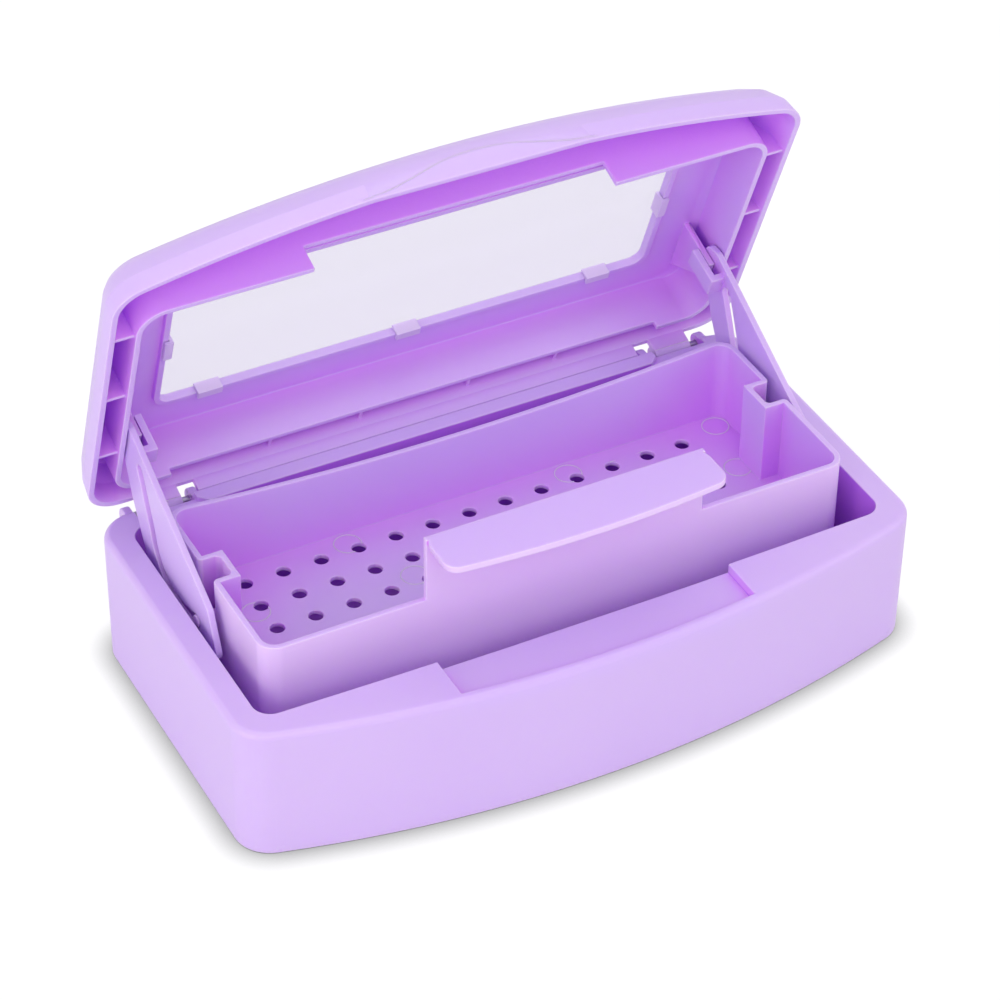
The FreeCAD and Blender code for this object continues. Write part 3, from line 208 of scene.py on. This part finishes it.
def clear_acrylic():
    """Clear acrylic sheet for the window: polished, hard, and almost without colour.

    The sheet is thin, so it is drawn mostly see-through, which also lets light in below it.
    """
    material = new_material("clear_acrylic_sheet")
    shader = add_node(material, "ShaderNodeBsdfPrincipled",
                      {"Base Color": colour(CLEAR_TINT), "Roughness": POLISHED_ROUGHNESS,
                       "IOR": PLASTIC_IOR, "Alpha": PANE_OPACITY})
    return close_material(material, shader.outputs["BSDF"])


def frosted_acrylic():
    """The pane's hooks: the same acrylic, ground dull, so that it shows pale lilac."""
    material = new_material("frosted_acrylic_hooks")
    place = add_node(material, "ShaderNodeTexCoord")
    grain = add_node(material, "ShaderNodeTexNoise",
                     {"Scale": per_metre(GROUND_GRAIN), "Detail": 2.0},
                     {"Vector": place.outputs["Object"]})
    gloss = add_node(material, "ShaderNodeMapRange",
                     {"To Min": GROUND_ROUGHNESS[0], "To Max": GROUND_ROUGHNESS[1]},
                     {"Value": grain.outputs["Fac"]})
    shader = add_node(material, "ShaderNodeBsdfPrincipled",
                      {"Base Color": colour(FROSTED_LILAC), "IOR": PLASTIC_IOR,
                       "Transmission Weight": 0.15},
                      {"Roughness": gloss.outputs["Result"]})
    return close_material(material, shader.outputs["BSDF"])


def drawn_steel_wire():
    """Drawn steel wire for the hinge pins: grey, with fine marks round the wire."""
    material = new_material("drawn_steel_wire")
    place = add_node(material, "ShaderNodeTexCoord")
    stretch = add_node(material, "ShaderNodeMapping",
                       {"Scale": (per_metre(WIRE_MARK_ALONG), per_metre(WIRE_MARK_ROUND),
                                  per_metre(WIRE_MARK_ROUND))},
                       {"Vector": place.outputs["Object"]})
    marks = add_node(material, "ShaderNodeTexNoise", {"Scale": 1.0, "Detail": 2.0},
                     {"Vector": stretch.outputs["Vector"]})
    gloss = add_node(material, "ShaderNodeMapRange",
                     {"To Min": WIRE_ROUGHNESS[0], "To Max": WIRE_ROUGHNESS[1]},
                     {"Value": marks.outputs["Fac"]})
    shader = add_node(material, "ShaderNodeBsdfPrincipled",
                      {"Base Color": colour(STEEL_GREY), "Metallic": 1.0},
                      {"Roughness": gloss.outputs["Result"]})
    return close_material(material, shader.outputs["BSDF"])


SATIN = moulded_polypropylene("moulded_polypropylene_lilac",
                              PALE_LILAC, LILAC_SHADE, PAINTED_HOLLOW_SHADE)
# Painted light: a paler copy of the lilac for the tray's outward walls
PAINTED_LIGHT_SATIN = moulded_polypropylene("moulded_polypropylene_tray_walls_painted_light",
                                   PAINTED_LIGHT_LILAC, PAINTED_LIGHT_TONE, PAINTED_HOLLOW_SHADE)
# Painted shade: a deeper copy of the lilac for the basin
PAINTED_SHADE_SATIN = moulded_polypropylene("moulded_polypropylene_basin_painted_shade",
                                    PAINTED_SHADE_LILAC, PAINTED_SHADE_TONE, PAINTED_GAP_SHADE)
CLEAR = clear_acrylic()
FROSTED = frosted_acrylic()
STEEL = drawn_steel_wire()

# Pieces: copies of the CAD nodes with moulded edges

MERGE_DISTANCE = 0.000002
FLAT_ANGLE = math.radians(0.4)
EDGE_ANGLE = math.radians(35.0)
SMOOTH_ANGLE = math.radians(50.0)
EDGE_SEGMENTS = 2
FLATS = "flats"
SECOND_MATERIAL_INDEX = 1


def select_only(piece):
    bpy.ops.object.select_all(action="DESELECT")
    piece.select_set(True)
    bpy.context.view_layer.objects.active = piece


def joined_copy(node_name, piece_name):
    """Copy a CAD node, join its loose triangles and make its flat faces whole again."""
    node = NODES[node_name]
    piece = node.copy()
    piece.data = node.data.copy()
    piece.name = piece_name
    bpy.context.scene.collection.objects.link(piece)
    select_only(piece)
    bpy.ops.mesh.customdata_custom_splitnormals_clear()
    bpy.ops.object.mode_set(mode="EDIT")
    bpy.ops.mesh.select_all(action="SELECT")
    bpy.ops.mesh.remove_doubles(threshold=MERGE_DISTANCE)
    bpy.ops.mesh.dissolve_limited(angle_limit=FLAT_ANGLE)
    bpy.ops.object.mode_set(mode="OBJECT")
    return piece


def apply_modifier(piece, modifier):
    select_only(piece)
    bpy.ops.object.modifier_apply(modifier=modifier.name)


def round_edges(piece, width, mark_flats=None):
    """Round every crisp edge a little, as the mould does, and keep broad faces flat.

    Where mark_flats is given, it names the flat faces' vertices, and the rest stay curved.
    """
    bevel = piece.modifiers.new("moulded_edge", "BEVEL")
    bevel.width = width
    bevel.segments = EDGE_SEGMENTS
    bevel.limit_method = "ANGLE"
    bevel.angle_limit = EDGE_ANGLE
    bevel.use_clamp_overlap = False
    apply_modifier(piece, bevel)
    bpy.ops.object.shade_smooth_by_angle(angle=SMOOTH_ANGLE)
    if mark_flats is not None:
        mark_flats(piece)
    weighted = piece.modifiers.new("flat_faces", "WEIGHTED_NORMAL")
    weighted.keep_sharp = True
    if mark_flats is not None:
        weighted.vertex_group = FLATS
    apply_modifier(piece, weighted)


def finish_piece(piece, body, slot, *finishes):
    """Give a piece its materials and the body that carries it; its slot argument is not used.
    """
    piece.data.materials.clear()
    for finish in finishes:
        piece.data.materials.append(finish)
    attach(piece, body)


# The open lid: its hinge, and directions on it

LID_OPEN = math.radians(69.7)
HINGE = Vector((0.0, 0.05936, 0.04058))


def as_open(y, z):
    """Turn a direction on the closed lid to where it points with the lid open."""
    return Vector((0.0, y * math.cos(LID_OPEN) + z * math.sin(LID_OPEN),
                   z * math.cos(LID_OPEN) - y * math.sin(LID_OPEN)))


LID_UP = as_open(0.0, 1.0)
LID_BACK = as_open(1.0, 0.0)

# Tub, lid and arms

THUMB_FLAT_RUN = 0.76
THUMB_FLAT_RISE = 6.0
THUMB_FLAT_FACING = as_open(-THUMB_FLAT_RISE, -THUMB_FLAT_RUN).normalized()
FLAT_COSINE = 0.99995
LEAST_RISE = 0.05
MOST_RISE = 0.995
WALL_SLOPE = 0.5
RIM_TOP = 0.0425
BASIN_FLOOR = 0.02
TUB_EDGE = 0.00035
LID_EDGE = 0.0003
ARM_EDGE = 0.00025


def mark_lid_flats(lid):
    """Keep the thumb flat's border crisp, and leave the dome out of the flat faces."""
    for face in lid.data.polygons:
        face.select = face.normal.dot(THUMB_FLAT_FACING) > FLAT_COSINE
    bpy.ops.object.mode_set(mode="EDIT")
    bpy.ops.mesh.select_mode(type="FACE")
    bpy.ops.mesh.region_to_loop()
    bpy.ops.mesh.mark_sharp()
    bpy.ops.object.mode_set(mode="OBJECT")
    flat = set()
    for face in lid.data.polygons:
        if not LEAST_RISE < abs(face.normal.dot(LID_UP)) < MOST_RISE:
            flat.update(face.vertices)
    lid.vertex_groups.new(name=FLATS).add(sorted(flat), 1.0, "REPLACE")


def paint_basin_shade(tub):
    """The basin's walls and floor sit in the tray's shade; their deeper colour is painted
    shade.
    """
    for face in tub.data.polygons:
        inward = -face.normal.x * face.center.x - face.normal.y * face.center.y
        wall = inward > 0.0 and abs(face.normal.z) < WALL_SLOPE and face.center.z < RIM_TOP
        bottom = face.normal.z > WALL_SLOPE and face.center.z < BASIN_FLOOR
        if wall or bottom:
            face.material_index = SECOND_MATERIAL_INDEX


def tub_moulding():
    tub = joined_copy("base_tub", "tub_moulding")
    round_edges(tub, TUB_EDGE)
    finish_piece(tub, "tub", "lilac_plastic", SATIN, PAINTED_SHADE_SATIN)
    paint_basin_shade(tub)
    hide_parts("base_tub")


def lid_moulding():
    lid = joined_copy("lid_shell", "lid_moulding")
    round_edges(lid, LID_EDGE, mark_lid_flats)
    finish_piece(lid, "lid", "lilac_plastic", SATIN)
    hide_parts("lid_shell")
    return lid


def arm_moulding(side):
    arm = joined_copy("lift_arm_" + side, side + "_arm_moulding")
    round_edges(arm, ARM_EDGE)
    finish_piece(arm, "arm_" + side, "lilac_plastic", SATIN)
    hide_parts("lift_arm_" + side)


# The thumb flat's arched ridge, laid on the lid's front

RIDGE_HALF = 0.0365
RIDGE_RISE = 0.0062
RIDGE_BASE = 0.0009
RIDGE_RADIUS = 0.00045
RIDGE_SINK = 0.00034
RIDGE_POINTS = 15
FRONT_DEPTH = 0.03


def ridge_line(lid):
    """Points of the arch, found on the lid's front face from ahead of it."""
    corners = [vertex.co - HINGE for vertex in lid.data.vertices]
    mouth_front = min(corner.dot(LID_BACK) for corner in corners)
    mouth_low = min(corner.dot(LID_UP) for corner in corners
                    if corner.dot(LID_BACK) < mouth_front + FRONT_DEPTH)
    ahead = HINGE + LID_BACK * (mouth_front - FRONT_DEPTH)
    spots = []
    for step in range(RIDGE_POINTS):
        across = RIDGE_HALF * (2.0 * step / (RIDGE_POINTS - 1) - 1.0)
        arch = (1.0 + math.cos(math.pi * across / RIDGE_HALF)) / 2.0
        rise = RIDGE_BASE + RIDGE_RISE * arch
        start = ahead + Vector((across, 0.0, 0.0)) + LID_UP * (mouth_low + rise)
        spot = lid.ray_cast(start, LID_BACK)[1]
        spots.append(spot + LID_BACK * RIDGE_SINK)
    return spots


def thumb_ridge(lid):
    """A half-sunk round line through the arch's points, turned into a mesh."""
    spots = ridge_line(lid)
    bpy.ops.object.select_all(action="DESELECT")
    path = bpy.data.curves.new("thumb_ridge", "CURVE")
    path.dimensions = "3D"
    path.bevel_depth = RIDGE_RADIUS
    path.bevel_resolution = 2
    line = path.splines.new("NURBS")
    line.points.add(len(spots) - 1)
    for point, spot in zip(line.points, spots):
        point.co = (*spot, 1.0)
    line.order_u = 3
    line.use_endpoint_u = True
    ridge = bpy.data.objects.new("thumb_ridge", path)
    bpy.context.scene.collection.objects.link(ridge)
    select_only(ridge)
    bpy.ops.object.convert(target="MESH")
    ridge = bpy.context.object
    bpy.ops.object.shade_smooth()
    finish_piece(ridge, "lid", "lilac_plastic", SATIN)


# Tray: its drain holes are drawn round here

TRAY_EDGE = 0.0003
TRAY_FLOOR_TOP = 0.0296
HOLES_ACROSS = 13
HOLES_DEEP = 5
HOLE_PITCH_ACROSS = 0.01242
HOLE_PITCH_DEEP = 0.01123
HOLE_ROW_BACK = 0.02804
HOLE_RADIUS = 0.00224
HOLE_SIDES = 28
PUNCH_HEIGHT = 0.006


def repeat_punch(punch, name, count, step):
    """Repeat the punch in a straight row."""
    row = punch.modifiers.new(name, "ARRAY")
    row.use_relative_offset = False
    row.use_constant_offset = True
    row.constant_offset_displace = step
    row.count = count
    apply_modifier(punch, row)


def hole_punch():
    """Round bars where the drain holes go, in rows from the left and from the back."""
    bpy.ops.object.select_all(action="DESELECT")
    bpy.ops.mesh.primitive_cylinder_add(vertices=HOLE_SIDES, radius=HOLE_RADIUS,
                                        depth=PUNCH_HEIGHT,
                                        location=(0.0, HOLE_ROW_BACK, TRAY_FLOOR_TOP))
    punch = bpy.context.object
    repeat_punch(punch, "row", HOLES_ACROSS, (HOLE_PITCH_ACROSS, 0.0, 0.0))
    repeat_punch(punch, "rows", HOLES_DEEP, (0.0, -HOLE_PITCH_DEEP, 0.0))
    punch.location.x = -HOLE_PITCH_ACROSS * (HOLES_ACROSS - 1) / 2
    return punch


def drill(piece, punch):
    """Cut the drain holes through a piece."""
    drilled = piece.modifiers.new("drain_holes", "BOOLEAN")
    drilled.object = punch
    drilled.operation = "DIFFERENCE"
    drilled.solver = "EXACT"
    apply_modifier(piece, drilled)


# The ejector pins' round marks on the tray's floor: thin raised lines, cut by the holes

MARK_RADIUS = 0.00425
MARK_LINE = 0.0002
MARK_SQUASH = 0.6
MARK_SEGMENTS = 36
MARK_LINE_SEGMENTS = 8
MARK_PLACES = ((0.0885, 0.0313), (0.084, 0.010), (0.0358, 0.031),
               (-0.0395, 0.031), (-0.0281, 0.0088), (-0.0771, 0.0148))


def ejector_marks(punch):
    """One flattened ring, copied to each mark's place and joined, then cut by the holes."""
    bpy.ops.object.select_all(action="DESELECT")
    bpy.ops.mesh.primitive_torus_add(major_radius=MARK_RADIUS, minor_radius=MARK_LINE,
                                     major_segments=MARK_SEGMENTS,
                                     minor_segments=MARK_LINE_SEGMENTS,
                                     location=(0.0, 0.0, 0.0))
    ring = bpy.context.object
    bpy.ops.object.mode_set(mode="EDIT")
    bpy.ops.mesh.select_all(action="SELECT")
    bpy.ops.transform.resize(value=(1.0, 1.0, MARK_SQUASH))
    bpy.ops.object.mode_set(mode="OBJECT")
    rings = []
    for x, y in MARK_PLACES:
        copy = ring.copy()
        copy.data = ring.data.copy()
        copy.location = (x, y, TRAY_FLOOR_TOP)
        bpy.context.scene.collection.objects.link(copy)
        rings.append(copy)
    bpy.data.objects.remove(ring)
    bpy.ops.object.select_all(action="DESELECT")
    for copy in rings:
        copy.select_set(True)
    bpy.context.view_layer.objects.active = rings[0]
    bpy.ops.object.join()
    bpy.ops.object.transform_apply(location=True, rotation=True, scale=True)
    marks = bpy.context.object
    marks.name = "ejector_marks"
    drill(marks, punch)
    bpy.ops.object.shade_smooth_by_angle(angle=SMOOTH_ANGLE)
    finish_piece(marks, "tray", "lilac_plastic", SATIN)


def paint_outer_walls_light(tray):
    """The tray's outward walls stand in full light; their paler colour is painted light."""
    for face in tray.data.polygons:
        outward = face.normal.x * face.center.x + face.normal.y * face.center.y
        if outward > 0.0 and abs(face.normal.z) < WALL_SLOPE:
            face.material_index = SECOND_MATERIAL_INDEX


def finish_tray(tray, punch):
    drill(tray, punch)
    round_edges(tray, TRAY_EDGE)
    finish_piece(tray, "tray", "lilac_plastic", SATIN, PAINTED_LIGHT_SATIN)
    paint_outer_walls_light(tray)
    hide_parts("instrument_tray")


# Window: a clear pane, and its hooks of frosted material

PANE_EDGE = 0.0001
PANE_THICKNESS = 0.0013
HOOK_REACH = 0.012
HOOK_CLEARANCE = 0.00002


def take_off_notch_hook(pane, hook_top):
    """Take off the hook in the finger notch, where none shows, and close the plate there."""
    middle = sum(((vertex.co - HINGE).dot(LID_BACK) for vertex in pane.data.vertices),
                 0.0) / len(pane.data.vertices)
    bpy.ops.object.mode_set(mode="EDIT")
    bpy.ops.mesh.select_mode(type="VERT")
    bpy.ops.mesh.select_all(action="DESELECT")
    bpy.ops.object.mode_set(mode="OBJECT")
    for vertex in pane.data.vertices:
        below = vertex.co.dot(LID_UP) < hook_top
        ahead = (vertex.co - HINGE).dot(LID_BACK) < middle
        vertex.select = below and ahead and abs(vertex.co.x) < HOOK_REACH
    bpy.ops.object.mode_set(mode="EDIT")
    bpy.ops.mesh.delete(type="VERT")
    bpy.ops.mesh.select_non_manifold(extend=False)
    bpy.ops.mesh.fill()
    bpy.ops.object.mode_set(mode="OBJECT")


def window_pane():
    pane = joined_copy("window_pane", "window_pane_clear")
    plate_top = max(vertex.co.dot(LID_UP) for vertex in pane.data.vertices)
    hook_top = plate_top - PANE_THICKNESS - HOOK_CLEARANCE
    take_off_notch_hook(pane, hook_top)
    round_edges(pane, PANE_EDGE)
    finish_piece(pane, "lid", "clear_plastic", CLEAR, FROSTED)
    for face in pane.data.polygons:
        if face.center.dot(LID_UP) < hook_top:
            face.material_index = SECOND_MATERIAL_INDEX
    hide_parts("window_pane")


def hinge_pin(side):
    """The pin keeps the CAD node's own mesh, and only takes its material."""
    pin = NODES["hinge_pin_" + side].data
    pin.materials.clear()
    pin.materials.append(STEEL)


# All the pieces, in order

tub_moulding()
lid_piece = lid_moulding()
for arm_side in ("left", "right"):
    arm_moulding(arm_side)
thumb_ridge(lid_piece)
tray_piece = joined_copy("instrument_tray", "tray_moulding")
holes = hole_punch()
ejector_marks(holes)
finish_tray(tray_piece, holes)
bpy.data.objects.remove(holes)
window_pane()
for pin_side in ("left", "right"):
    hinge_pin(pin_side)

# Floor: a white paper sweep with a small share of the box's real shadow and a painted contact
# shadow

FLOOR_SIZE = 12.0
FLOOR_TOP = -0.0002
CONTACT_SHADOW_REACH = 0.008
SHADED_SHARE = 0.12
PAPER_GLOW = 1.02


def paper_sweep():
    """White paper that glows evenly white and keeps a small share of the box's real shadow; the
    soft shadow that darkens it close round the box is painted shadow, strongest where the box
    meets the paper.
    """
    material = new_material("white_paper_sweep")
    # Painted shadow: the paper darkens where the box closes in round a point
    painted_contact_shadow = add_node(material, "ShaderNodeAmbientOcclusion",
                     {"Color": colour(PAPER_WHITE), "Distance": CONTACT_SHADOW_REACH, "samples": 12})
    paper = add_node(material, "ShaderNodeBsdfDiffuse", {"Color": colour(PAPER_WHITE)})
    shadowed_paper = add_node(material, "ShaderNodeVectorMath", {"operation": "SCALE"},
                       {"Vector": painted_contact_shadow.outputs["Color"]})
    shadowed_paper.inputs["Scale"].default_value = SHADED_SHARE
    shaded = add_node(material, "ShaderNodeBsdfDiffuse", None,
                      {"Color": shadowed_paper.outputs["Vector"]})
    lift = add_node(material, "ShaderNodeEmission", {"Strength": PAPER_GLOW},
                    {"Color": painted_contact_shadow.outputs["Color"]})
    path = add_node(material, "ShaderNodeLightPath")
    both = add_node(material, "ShaderNodeAddShader")
    material.node_tree.links.new(shaded.outputs["BSDF"], both.inputs[0])
    material.node_tree.links.new(lift.outputs["Emission"], both.inputs[1])
    seen = add_node(material, "ShaderNodeMath", {"operation": "MAXIMUM"},
                    {0: path.outputs["Is Camera Ray"], 1: path.outputs["Is Transmission Ray"]})
    choice = add_node(material, "ShaderNodeMixShader", None, {"Fac": seen.outputs["Value"]})
    material.node_tree.links.new(paper.outputs["BSDF"], choice.inputs[1])
    material.node_tree.links.new(both.outputs["Shader"], choice.inputs[2])
    return close_material(material, choice.outputs["Shader"])


bpy.ops.object.select_all(action="DESELECT")
bpy.ops.mesh.primitive_plane_add(size=FLOOR_SIZE, location=(0.0, 0.0, FLOOR_TOP))
floor = bpy.context.object
floor.name = "paper_floor"
floor.data.materials.append(paper_sweep())

# Light: an even white room and four large soft boxes, each with its place, size and watts

ROOM_LIGHT = 0.73
LAMP_AIM = Vector((0.0, 0.0, 0.05))
SOFT_BOXES = (
    ("front_soft_box", Vector((-0.45, -1.0, 0.95)), 1.0, 0.8, 3.3),
    ("left_soft_box", Vector((-1.2, -0.3, 0.5)), 0.8, 0.6, 3.2),
    ("right_soft_box", Vector((1.0, -0.7, 0.6)), 0.8, 0.6, 1.6),
    ("top_soft_box", Vector((0.2, 0.3, 1.3)), 1.0, 1.0, 2.6),
)

world = bpy.data.worlds.new("white_room")
bpy.context.scene.world = world
world.use_nodes = True
room = world.node_tree.nodes["Background"]
room.inputs["Color"].default_value = colour(WHITE)
room.inputs["Strength"].default_value = ROOM_LIGHT


def soft_box(name, place, width, height, watts):
    data = bpy.data.lights.new(name, "AREA")
    data.shape = "RECTANGLE"
    data.size = width
    data.size_y = height
    data.energy = watts
    lamp = bpy.data.objects.new(name, data)
    lamp.location = place
    lamp.rotation_euler = (LAMP_AIM - place).to_track_quat("-Z", "Y").to_euler()
    bpy.context.scene.collection.objects.link(lamp)


for lamp_values in SOFT_BOXES:
    soft_box(*lamp_values)

# Camera: the photograph's view

EYE = Vector((-0.3768, -0.6934, 0.6838))
RIGHT = Vector((0.8851, -0.4652, 0.0110)).normalized()
BACK = Vector((-0.3697, -0.6887, 0.6237))
BACK = (BACK - RIGHT * BACK.dot(RIGHT)).normalized()
UP = BACK.cross(RIGHT)
FOCAL_PIXELS = 3440.8
IMAGE_PIXELS = 1000.0
SENSOR = 36.0
NEAR_LIMIT = 0.01
FAR_LIMIT = 50.0

view = bpy.data.cameras.new("photo_view")
view.sensor_width = SENSOR
view.lens = FOCAL_PIXELS / IMAGE_PIXELS * SENSOR
view.clip_start = NEAR_LIMIT
view.clip_end = FAR_LIMIT
camera = bpy.data.objects.new("photo_view", view)
camera.matrix_world = Matrix((
    (RIGHT.x, UP.x, BACK.x, EYE.x),
    (RIGHT.y, UP.y, BACK.y, EYE.y),
    (RIGHT.z, UP.z, BACK.z, EYE.z),
    (0.0, 0.0, 0.0, 1.0)))
bpy.context.scene.collection.objects.link(camera)
bpy.context.scene.camera = camera
bpy.context.scene.view_settings.view_transform = "Standard"
